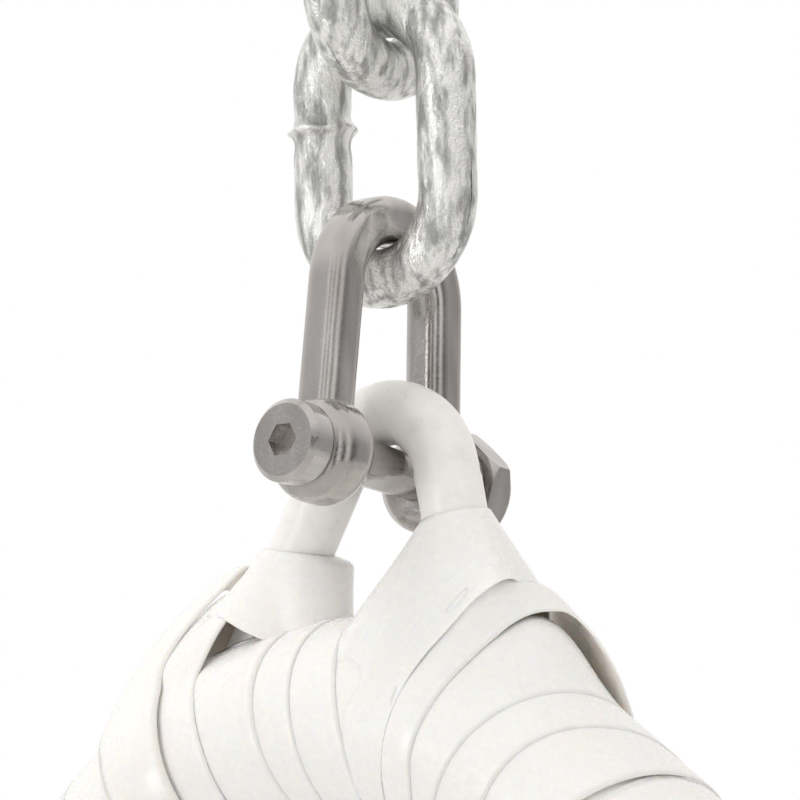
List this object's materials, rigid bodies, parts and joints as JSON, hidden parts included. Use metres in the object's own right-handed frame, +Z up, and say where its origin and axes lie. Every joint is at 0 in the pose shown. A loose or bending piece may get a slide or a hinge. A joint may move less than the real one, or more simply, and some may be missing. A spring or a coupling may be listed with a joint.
{
  "type": "tire swing",
  "caption": "Teardrop hoop swing wrapped in white tape, hung by a white eye, a stainless shackle and short chain from a swivel hanger plate.",
  "frame": {"origin": "middle of the hanger plate's top face, where it bolts up under a beam", "axes": "+Z up; the hoop lies in the XZ plane; the shackle's pin runs along Y"},
  "size_m": [0.7955, 0.062, 1.1596],
  "materials": {
    "galvanised_plate": "hot-dip galvanised, dull spangle",
    "zinc_fasteners": "zinc plated, satin",
    "galvanised_forging": "forged and galvanised",
    "bronze": "turned bearing bronze",
    "seal_rubber": "matt moulded rubber",
    "galvanised_chain": "bright zinc over a drawn wire, grainy",
    "polished_stainless": "cast stainless, tumbled and polished",
    "white_coating": "white plastic coating",
    "bare_steel": "mill finish",
    "tube_steel": "galvanised tube",
    "white_tape": "glossy soft vinyl tape"
  },
  "bodies": {
    "hanger": {"hanger_plate": "galvanised_plate", "swivel_housing": "galvanised_plate", "housing_screws": "zinc_fasteners", "swivel_bush": "bronze", "thrust_washer": "bronze", "grease_seal": "seal_rubber"},
    "swivel": {"swivel_clevis": "galvanised_forging", "spindle_nut": "zinc_fasteners", "spindle_split_pin": "zinc_fasteners", "clevis_bolt": "zinc_fasteners", "clevis_nut": "zinc_fasteners"},
    "link_1": {"chain_link_1": "galvanised_chain"},
    "link_2": {"chain_link_2": "galvanised_chain"},
    "link_3": {"chain_link_3": "galvanised_chain"},
    "link_4": {"chain_link_4": "galvanised_chain"},
    "shackle": {"shackle_bow": "polished_stainless", "shackle_pin": "polished_stainless", "shackle_nut": "polished_stainless"},
    "hoop": {"bottom_spigot": "tube_steel", "crown_wrap": "white_tape", "eye_bar": "bare_steel", "eye_coat": "white_coating", "eye_collar_left": "white_tape", "eye_collar_right": "white_tape", "eye_welds": "bare_steel", "hoop_tube_left": "tube_steel", "hoop_tube_right": "tube_steel", "loose_turn_left": "white_tape", "loose_turn_right": "white_tape", "lower_wrap_left": "white_tape", "lower_wrap_right": "white_tape", "shoulder_wrap_left": "white_tape", "shoulder_wrap_right": "white_tape", "side_wrap_left": "white_tape", "side_wrap_right": "white_tape", "top_spigot": "tube_steel"}
  },
  "joints": [
    {"name": "swivel_spin", "type": "hinge", "parent": "hanger", "child": "swivel", "pos_m": [0, 0, -0.046], "axis": [0, 0, 1], "continuous": true},
    {"name": "clevis_swing", "type": "hinge", "parent": "swivel", "child": "link_1", "pos_m": [0, 0, -0.0735], "axis": [1, 0, 0], "range_deg": [-35, 35]},
    {"name": "link_2_swing", "type": "hinge", "parent": "link_1", "child": "link_2", "pos_m": [0, 0, -0.1082], "axis": [0, 1, 0], "range_deg": [-20, 20]},
    {"name": "link_3_swing", "type": "hinge", "parent": "link_2", "child": "link_3", "pos_m": [0, 0, -0.1429], "axis": [1, 0, 0], "range_deg": [-20, 20]},
    {"name": "link_4_swing", "type": "hinge", "parent": "link_3", "child": "link_4", "pos_m": [0, 0, -0.1776], "axis": [0, 1, 0], "range_deg": [-20, 20]},
    {"name": "shackle_swing", "type": "hinge", "parent": "link_4", "child": "shackle", "pos_m": [0, 0, -0.2123], "axis": [1, 0, 0], "range_deg": [-30, 30]},
    {"name": "hoop_swing", "type": "hinge", "parent": "shackle", "child": "hoop", "pos_m": [0, 0, -0.24418], "axis": [0, 0.9943, -0.1066], "range_deg": [-35, 35]}
  ]
}
